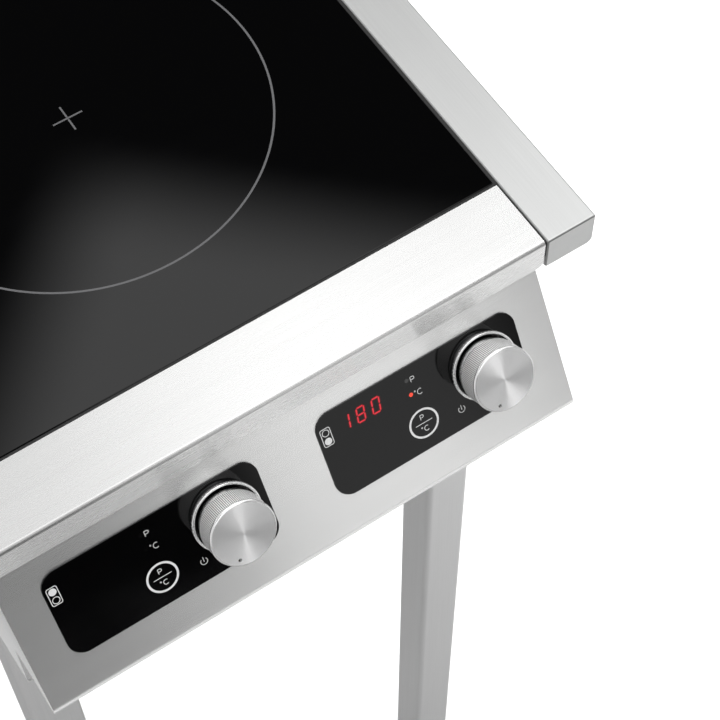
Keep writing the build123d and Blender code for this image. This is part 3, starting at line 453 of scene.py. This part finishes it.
# ---------------------------------------------------------------- mesh helpers
def make_piece(name, bm, material, body, place=None, smooth=True):
    bmesh.ops.recalc_face_normals(bm, faces=bm.faces)
    mesh = bpy.data.meshes.new(name)
    bm.to_mesh(mesh)
    bm.free()
    for polygon in mesh.polygons:
        polygon.use_smooth = smooth
    mesh.materials.append(material)
    piece = bpy.data.objects.new(name, mesh)
    bpy.context.scene.collection.objects.link(piece)
    if place is not None:
        piece.matrix_world = place
    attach(piece, body)
    return piece


def sharp_edges(piece, degrees=30.0):
    """Splits the shading where the surface turns by more than an angle."""
    split = piece.modifiers.new("edge_split", "EDGE_SPLIT")
    split.split_angle = math.radians(degrees)


def lathe(profile, steps=96, wave=None):
    """A surface of revolution about Z from closed (radius, height) points, in millimetres.
    wave(index, radius, height) may change the radius round the turn."""
    bm = bmesh.new()
    rings = []
    for radius, height in profile:
        ring = []
        for i in range(steps):
            r = wave(i, radius, height) if wave else radius
            angle = 2 * math.pi * i / steps
            ring.append(bm.verts.new((r * math.cos(angle) * MM, r * math.sin(angle) * MM, height * MM)))
        rings.append(ring)
    count = len(rings)
    for k in range(count):
        low, high = rings[k], rings[(k + 1) % count]
        for i in range(steps):
            j = (i + 1) % steps
            bm.faces.new((low[i], low[j], high[j], high[i]))
    return bm


def arc(centre, radius, start, end, steps):
    """Points of an arc in degrees."""
    return [
        (
            centre[0] + radius * math.cos(math.radians(start + (end - start) * i / steps)),
            centre[1] + radius * math.sin(math.radians(start + (end - start) * i / steps)),
        )
        for i in range(steps + 1)
    ]


def ribbon(bm, points, width, closed=False, base=OVERLAY_TOP, thick=PRINT_T):
    """A printed line of even width, as a thin closed solid."""
    count = len(points)
    flat = [Vector((x, y, 0)) for x, y in points]
    left, right = [], []
    for i, point in enumerate(flat):
        before = flat[i - 1] if closed or i else point
        after = flat[(i + 1) % count] if closed or i < count - 1 else point
        run_in = (point - before).normalized() if point != before else (after - point).normalized()
        run_out = (after - point).normalized() if point != after else run_in
        normal = Vector((-(run_in.y + run_out.y), run_in.x + run_out.x, 0)).normalized()
        lean = max(0.5, normal.dot(Vector((-run_in.y, run_in.x, 0))))
        shift = normal * (width / 2 / lean)
        left.append(point + shift)
        right.append(point - shift)

    def row(line, height):
        return [bm.verts.new((p.x * MM, p.y * MM, height * MM)) for p in line]

    rows = [row(left, base), row(right, base), row(right, base + thick), row(left, base + thick)]
    last = count if closed else count - 1
    for i in range(last):
        j = (i + 1) % count
        for k in range(4):
            a, b = rows[k], rows[(k + 1) % 4]
            bm.faces.new((a[i], a[j], b[j], b[i]))
    if not closed:
        bm.faces.new([line[0] for line in rows])
        bm.faces.new([line[-1] for line in rows][::-1])


def patch(bm, outline, base=OVERLAY_TOP, thick=PRINT_T):
    """A printed area, as a thin closed solid."""
    low = [bm.verts.new((x * MM, y * MM, base * MM)) for x, y in outline]
    high = [bm.verts.new((x * MM, y * MM, (base + thick) * MM)) for x, y in outline]
    bm.faces.new(low[::-1])
    bm.faces.new(high)
    for i in range(len(outline)):
        j = (i + 1) % len(outline)
        bm.faces.new((low[i], low[j], high[j], high[i]))


def rounded_outline(x0, y0, x1, y1, radius, steps=6):
    corners = [(x1 - radius, y1 - radius, 0), (x0 + radius, y1 - radius, 90)]
    corners += [(x0 + radius, y0 + radius, 180), (x1 - radius, y0 + radius, 270)]
    points = []
    for x, y, start in corners:
        points += arc((x, y), radius, start, start + 90, steps)
    return points


# ---------------------------------------------------------------- places on the panel
def joint(name):
    return next(item for item in frame["joints"] if item["name"] == name)


def knob_place(side):
    """Local frame at a knob: X across, Y up the panel, Z out of it."""
    turn = joint(f"knob_{side}_turn")
    out = Vector(turn["axis"]).normalized()
    across_x = Vector((1, 0, 0))
    up = out.cross(across_x)
    place = Matrix((across_x, up, out)).transposed().to_4x4()
    place.translation = Vector(turn["pos_m"])
    return place


def overlay_place(side):
    """The same frame, moved to the overlay's lower left corner."""
    return knob_place(side) @ Matrix.Translation((-KNOB_AT[0] * MM, -KNOB_AT[1] * MM, 0))


# ---------------------------------------------------------------- knobs and bezels
def seat(bm, place):
    """Mesh coordinates moved to the part's own frame."""
    bmesh.ops.transform(bm, matrix=place, verts=bm.verts)
    return bm


def build_turned(side, place):
    """The knob's smooth skirt, hollow back and rim."""
    hollow, collar = SKIRT_R - 1.9, SKIRT_R + 0.6
    shell = [(KNOB_R - RIM - 0.7, KNOB_TOP - 0.06), (hollow, KNOB_TOP - 2.4), (hollow, KNOB_BOTTOM)]
    shell += [(SKIRT_R - 0.4, KNOB_BOTTOM), (SKIRT_R, KNOB_BOTTOM + 0.4)]
    shell += [(SKIRT_R, KNURL[0] - 1.1), (SKIRT_R + 0.5, KNURL[0] - 0.6), (collar, KNURL[0])]
    shell += [(collar, KNURL[1]), (KNOB_R - 0.15, KNURL[1]), (KNOB_R, KNURL[1] + 0.2)]
    shell += [(KNOB_R, KNOB_TOP - RIM - 0.05), (KNOB_R - 0.08, KNOB_TOP - RIM + 0.12)]
    shell += [(KNOB_R - RIM + 0.16, KNOB_TOP - 0.10), (KNOB_R - RIM, KNOB_TOP - 0.02)]
    turned = make_piece(
        f"knob_{side}_turned", seat(lathe(shell, 160), place), MATERIALS["knob_aluminium"],
        f"knob_{side}"
    )
    sharp_edges(turned, 25.0)
    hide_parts(f"knob_{side}")


def build_knurl(side, place):
    """Straight fine knurl round the knob's grip."""
    band, inner = KNOB_R - 0.35, SKIRT_R + 0.4
    low, high = KNURL
    grip = [(inner, low), (band - 0.5, low), (band, low + 0.5)]
    grip += [(band, high - 0.5), (band - 0.4, high), (inner, high)]

    def tooth(i, radius, height):
        return radius if radius <= inner else radius - TOOTH[i % len(TOOTH)]

    knurl = make_piece(
        f"knob_{side}_knurl", seat(lathe(grip, TEETH * len(TOOTH), tooth), place), KNURLED,
        f"knob_{side}", None, False
    )
    # The groove faces get the darker metal: painted shade in the grooves.
    knurl.data.materials.append(GROOVE_SHADE)
    out = place.to_3x3() @ Vector((0, 0, 1))
    centre = place.translation
    for polygon in knurl.data.polygons:
        reach = polygon.center - centre
        radial = (reach - out * reach.dot(out)).length / MM
        if inner + 0.3 < radial < band - 0.16:
            polygon.material_index = 1


def build_face(side, place):
    """The brushed face, a shallow disc."""
    steps = 128
    bm = bmesh.new()
    edge_r = KNOB_R - RIM - 0.03
    rings = []
    for radius, height in ((edge_r, FACE_TOP - 0.27), (edge_r, FACE_TOP), (0.45, FACE_TOP)):
        points = arc((0, 0), radius, 0, 360, steps)[:-1]
        rings.append([bm.verts.new((x * MM, y * MM, height * MM)) for x, y in points])
    for low_ring, high_ring in zip(rings, rings[1:]):
        for i in range(steps):
            j = (i + 1) % steps
            bm.faces.new((low_ring[i], low_ring[j], high_ring[j], high_ring[i]))
    bm.faces.new(rings[0][::-1])
    centre = bm.verts.new((0, 0, (FACE_TOP - 0.02) * MM))
    for i in range(steps):
        bm.faces.new((rings[-1][i], rings[-1][(i + 1) % steps], centre))
    face = make_piece(f"knob_{side}_face", bm, FACE, f"knob_{side}", place)
    sharp_edges(face, 30.0)


def build_mark(side, place):
    """The small round bead that marks the face."""
    turn = math.radians(MARK_ANGLE)
    dome = [(AXIS_R, -0.10), (MARK_BEAD_R, -0.10)]
    for degrees in (0, 20, 40, 60, 75):
        lean = math.radians(degrees)
        dome.append((MARK_BEAD_R * math.cos(lean), 0.26 * math.sin(lean) - 0.04))
    dome.append((AXIS_R, 0.22))
    bead = lathe([(radius, FACE_TOP + height - MARK_SUNK) for radius, height in dome], 24)
    bmesh.ops.remove_doubles(bead, verts=bead.verts, dist=MERGE)
    spot = place @ Matrix.Translation((MARK_R * math.cos(turn) * MM, MARK_R * math.sin(turn) * MM, 0))
    make_piece(f"knob_{side}_mark", seat(bead, spot), MARK, f"knob_{side}")


def build_knob(side):
    place = knob_place(side)
    build_turned(side, place)
    build_knurl(side, place)
    build_face(side, place)
    build_mark(side, place)


def build_bezel(side):
    """Bright ring with a rounded lip round the knob's recess."""
    outer, inner = BEZEL_R, BEZEL_R - BEZEL_W
    low, high = OVERLAY_TOP, OVERLAY_TOP + BEZEL_H
    lip = BEZEL_W / 2
    profile = [(inner, low), (outer, low), (outer, high - lip)]
    profile += arc((outer - lip, high - lip), lip, 0, 180, 12)[1:]
    bezel = make_piece(
        f"knob_bezel_{side}", lathe(profile, 128), MATERIALS["polished_steel"],
        "housing", knob_place(side)
    )
    sharp_edges(bezel, 40.0)
    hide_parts("knob_bezels")


# ---------------------------------------------------------------- overlay print
def letter_p(x, y, height, width):
    """Strokes of a P from its lower left corner."""
    bowl = arc((x + width - height * 0.29, y + height * 0.71), height * 0.29, 90, -90, 10)
    return [[(x, y), (x, y + height), *bowl, (x, y + height * 0.42)]]


def letter_c(x, y, height, width):
    half = height / 2
    points = [
        (x + width / 2 + px * width / height, y + half + py)
        for px, py in arc((0, 0), half, 48, 312, 18)
    ]
    return [points]


def draw(bm, strokes, width, base=OVERLAY_TOP):
    for stroke in strokes:
        ribbon(bm, stroke, width, base=base)


def build_print(side):
    """Zone symbol, lamp letters and power mark on the overlay."""
    place = overlay_place(side)
    bm = bmesh.new()
    ribbon(bm, rounded_outline(2.0, 34.6, 7.8, 45.4, 1.1), PRINT_W, True)
    for y, filled in ((42.6, side == "left"), (37.3, side == "right")):
        if filled:
            patch(bm, arc((4.9, y), 2.15, 0, 360, 32)[:-1])
        else:
            ribbon(bm, arc((4.9, y), 1.95, 0, 360, 32)[:-1], PRINT_W, True)
    draw(bm, letter_p(58.7, 43.4, 3.1, 2.3), 0.34)
    ribbon(bm, arc((58.9, 37.2), 0.34, 0, 360, 12)[:-1], 0.26, True)
    draw(bm, letter_c(60.2, 34.1, 3.3, 3.1), 0.34)
    x, y = POWER_AT
    ribbon(bm, arc(POWER_AT, 1.95, 130, 410, 24), PRINT_W)
    ribbon(bm, [(x, y - 0.3), (x, y + 2.7)], PRINT_W)
    make_piece(f"overlay_print_{side}", bm, PRINT, "housing", place, False)


def build_key_print(side):
    """Ring and mode letters on the key; they travel with it."""
    x, y = KEY_AT[0] - 0.2, KEY_AT[1]
    bm = bmesh.new()
    ribbon(bm, arc((x, y), 8.45, 0, 360, 72)[:-1], 1.2, True)
    draw(bm, letter_p(x - 1.1, y + 2.5, 2.9, 2.0), 0.36)
    ribbon(bm, [(x - 5.2, y + 0.2), (x + 5.3, y + 0.2)], 0.38)
    ribbon(bm, arc((x - 2.0, y - 2.3), 0.36, 0, 360, 12)[:-1], 0.26, True)
    draw(bm, letter_c(x - 0.7, y - 5.1, 3.0, 2.9), 0.36)
    make_piece(
        f"mode_key_print_{side}", bm, PRINT, f"mode_key_{side}",
        overlay_place(side), False
    )


# ---------------------------------------------------------------- display
def segment_outline(name, grow=0.0):
    """One segment's outline in an upright digit, from its lower left corner."""
    half, gap = DIGIT_STROKE / 2, 0.22
    x0, x1 = half, DIGIT_W - half
    y0, y1, ym = half, DIGIT_H - half, DIGIT_H / 2
    lines = {
        "a": ((x0, y1), (x1, y1)),
        "b": ((x1, ym), (x1, y1)),
        "c": ((x1, y0), (x1, ym)),
        "d": ((x0, y0), (x1, y0)),
        "e": ((x0, y0), (x0, ym)),
        "f": ((x0, ym), (x0, y1)),
        "g": ((x0, ym), (x1, ym)),
    }
    start, end = (Vector(point) for point in lines[name])
    along = (end - start).normalized()
    start, end = start + along * (gap - grow), end - along * (gap - grow)
    side_step = Vector((-along.y, along.x)) * (half + grow)
    tip = along * (half + grow)
    points = [start, start + tip - side_step, end - tip - side_step]
    points += [end, end - tip + side_step, start + tip + side_step]
    return [(point.x, point.y) for point in points]


def segments(bm, at, names, grow, base):
    for name in names:
        upright = segment_outline(name, grow)
        outline = [(at[0] + x + (y - DIGIT_H / 2) * DIGIT_SLANT, at[1] + y) for x, y in upright]
        patch(bm, outline, base)


def build_digit(side, index, shown):
    """Seven segments: lit ones with a soft glow round them, dark ones barely there."""
    lit = SEGMENTS.get(shown, "")
    layers = [
        ("far", lit, 0.75, 0.000, GLOW_FAR),
        ("near", lit, 0.35, 0.006, GLOW_NEAR),
        ("lit", lit, 0.0, 0.012, DIGIT_ON),
        ("dark", [name for name in "abcdefg" if name not in lit], 0.0, 0.0, DIGIT_OFF),
    ]
    for word, names, grow, lift, material in layers:
        if not names:
            continue
        bm = bmesh.new()
        for i, name in enumerate(names):
            segments(bm, DIGIT_AT[index], name, grow, OVERLAY_TOP + lift + 0.0004 * i)
        make_piece(
            f"digit_{side}_{index + 1}_{word}", bm, material, "housing",
            overlay_place(side), False
        )


def build_lamps(side):
    for name, (x, y) in LAMP_AT.items():
        lit = side == "right" and name == "temperature"
        bm = bmesh.new()
        for inset, base, thick in LAMP_LAYERS:
            patch(bm, arc((x, y), LAMP_R - inset, 0, 360, 32)[:-1], OVERLAY_TOP + base, thick)
        material = LAMP_ON if lit else LAMP_OFF
        make_piece(f"lamp_{name}_{side}", bm, material, "housing", overlay_place(side), False)


# ---------------------------------------------------------------- glass print
def build_zone_marks():
    """A printed ring and centre cross over each coil."""
    for zone in ("front", "rear"):
        spin = joint(f"fan_{zone}_spin")
        centre_y = spin["pos_m"][1] / MM
        base = cad_high.z / MM - ZONE_SUNK
        bm = bmesh.new()
        ribbon(bm, arc((0, centre_y), ZONE_R, 0, 360, 128)[:-1], 1.2, True, base)
        arms = [[(-CROSS_HALF, centre_y), (CROSS_HALF, centre_y)]]
        arms += [[(0, centre_y - CROSS_HALF), (0, centre_y - CROSS_GAP)]]
        arms += [[(0, centre_y + CROSS_GAP), (0, centre_y + CROSS_HALF)]]
        draw(bm, arms, 1.0, base)
        make_piece(f"zone_mark_{zone}", bm, ZONE_PRINT, "housing", None, False)


# ---------------------------------------------------------------- camera, floor and light
def camera():
    """Long lens from above the front left corner, almost level."""
    corner = Vector((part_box("glass_seal")[1].x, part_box("glass_seal")[0].y, cad_high.z))
    data = bpy.data.cameras.new("camera")
    data.lens = CAMERA_LENS
    data.sensor_width = 36.0
    data.clip_start = 0.05
    view = bpy.data.objects.new("camera", data)
    bpy.context.scene.collection.objects.link(view)
    place = Matrix((CAMERA_RIGHT, CAMERA_UP, CAMERA_BACK)).transposed().to_4x4()
    place.translation = corner + Vector(CAMERA_PLACE)
    view.matrix_world = place
    bpy.context.scene.camera = view


def floor():
    """A pale floor with painted shade: it counts as darker in reflections, less so further along X."""
    bm = bmesh.new()
    bmesh.ops.create_grid(bm, x_segments=8, y_segments=8, size=7.0)
    mesh = bpy.data.meshes.new("floor")
    bm.to_mesh(mesh)
    bm.free()
    ground = bpy.data.objects.new("floor", mesh)
    bpy.context.scene.collection.objects.link(ground)
    material, nodes, links = clear_material("floor_paint")
    # painted shade: the floor is darker only where it is seen in reflections
    path = nodes.new("ShaderNodeLightPath")
    darker = [value - FLOOR_SEEN for value in FLOOR_MIRRORED]
    change = ranged(nodes, links, place_parts(nodes, links)["X"], *darker, *FLOOR_TURN)
    bounce = times(nodes, links, path.outputs["Is Glossy Ray"], change)
    pale = maths(nodes, links, "ADD", bounce, FLOOR_SEEN)
    links.new(tinted(nodes, links, (1.0, 1.0, 1.0), pale), shader(nodes).inputs["Base Color"])
    shader(nodes).inputs["Roughness"].default_value = 0.8
    shader(nodes).inputs["Specular IOR Level"].default_value = 0.0
    mesh.materials.append(material)


def edge(nodes, links, value, low, high):
    """Rises smoothly from 0 to 1 between two values, or falls if low is over high."""
    step = nodes.new("ShaderNodeMapRange")
    step.interpolation_type = "SMOOTHSTEP"
    step.inputs["From Min"].default_value = min(low, high)
    step.inputs["From Max"].default_value = max(low, high)
    step.inputs["To Min"].default_value = float(low > high)
    step.inputs["To Max"].default_value = float(low <= high)
    links.new(value, step.inputs["Value"])
    return step.outputs["Result"]


def projected(nodes, links, place, direction):
    facing = nodes.new("ShaderNodeVectorMath")
    facing.operation = "DOT_PRODUCT"
    links.new(place.outputs["Generated"], facing.inputs[0])
    facing.inputs[1].default_value = direction
    return facing.outputs["Value"]


def soft_box(nodes, links, place, towards, sideways, wide, tall, strength):
    """A rectangular light far away. wide and tall are its edges as tangents from the direction
    it hangs in: (dark, full, full, dark)."""
    towards = Vector(towards).normalized()
    sideways = Vector(sideways).normalized()
    ahead = projected(nodes, links, place, towards)
    light = times(nodes, links, edge(nodes, links, ahead, 0.0, 0.02), strength)
    for direction, limits in ((sideways, wide), (towards.cross(sideways), tall)):
        step = maths(nodes, links, "DIVIDE", projected(nodes, links, place, direction), ahead)
        light = times(nodes, links, light, edge(nodes, links, step, limits[0], limits[1]))
        light = times(nodes, links, light, edge(nodes, links, step, limits[3], limits[2]))
    return light


def world():
    """A room that the camera sees as plain and pale, and everything else as dim, with light boxes."""
    room = bpy.data.worlds.new("studio")
    bpy.context.scene.world = room
    room.use_nodes = True
    nodes, links = room.node_tree.nodes, room.node_tree.links
    place = nodes.new("ShaderNodeTexCoord")
    total = ROOM_DIM
    for box in BOXES:
        total = maths(nodes, links, "ADD", total, soft_box(nodes, links, place, *box))
    path = nodes.new("ShaderNodeLightPath")
    seen = times(nodes, links, path.outputs["Is Camera Ray"], ROOM_SEEN)
    unseen = maths(nodes, links, "SUBTRACT", 1.0, path.outputs["Is Camera Ray"])
    strength = maths(nodes, links, "ADD", seen, times(nodes, links, unseen, total))
    links.new(strength, nodes["Background"].inputs["Strength"])
    nodes["Background"].inputs["Color"].default_value = (1, 1, 1, 1)


def key_light():
    """A very soft overhead light for the floor and everything matt."""
    data = bpy.data.lights.new("key", "SUN")
    data.angle = math.radians(KEY_ANGLE)
    data.energy = KEY_ENERGY
    key = bpy.data.objects.new("key", data)
    bpy.context.scene.collection.objects.link(key)
    key.rotation_euler = (math.radians(KEY_TILT[0]), math.radians(KEY_TILT[1]), 0)
    key.visible_glossy = False


# ---------------------------------------------------------------- build
dress_cad_nodes()
camera()
floor()
world()
key_light()
for side in SIDES:
    build_knob(side)
    build_bezel(side)
    build_print(side)
    build_key_print(side)
    build_lamps(side)
    for index, shown in enumerate("180" if side == "right" else "   "):
        build_digit(side, index, shown)
build_zone_marks()

bpy.context.scene.view_settings.view_transform = "Standard"
